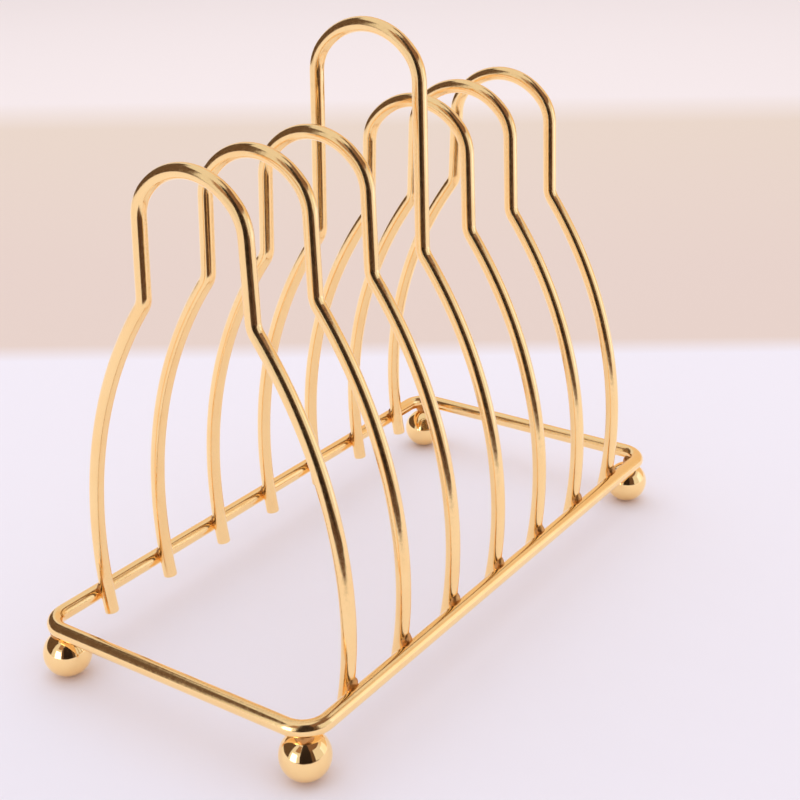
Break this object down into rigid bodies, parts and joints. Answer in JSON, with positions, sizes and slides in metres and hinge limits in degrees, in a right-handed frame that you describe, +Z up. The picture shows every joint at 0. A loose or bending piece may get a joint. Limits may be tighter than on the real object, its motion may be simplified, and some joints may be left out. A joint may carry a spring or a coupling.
{
  "type": "toast rack",
  "caption": "Bent-wire toast rack: bottle-shaped hoops in a row hold slices upright over a rectangular base ring on ball feet, and a taller middle hoop is the handle.",
  "frame": {"origin": "on the table, under the middle of the rack", "axes": "+X along the row of hoops, +Y across the row towards the left rail, +Z up"},
  "size_m": [0.1914, 0.0954, 0.1685],
  "materials": {
    "hoop_wire": "polished gold-coloured plate on round wire",
    "ring_wire": "polished gold-coloured plate on thicker round wire",
    "ball_foot": "mirror-polished gold-coloured plate",
    "braze": "plated braze, slightly duller than the wire"
  },
  "bodies": {
    "root": {"base_ring": "ring_wire", "handle_hoop": "hoop_wire", "hoop_1": "hoop_wire", "hoop_2": "hoop_wire", "hoop_3": "hoop_wire", "hoop_4": "hoop_wire", "hoop_5": "hoop_wire", "hoop_6": "hoop_wire", "foot_front_left": "ball_foot", "foot_front_right": "ball_foot", "foot_back_left": "ball_foot", "foot_back_right": "ball_foot", "rail_welds_right": "braze", "rail_welds_left": "braze", "foot_welds": "braze"}
  },
  "joints": []
}
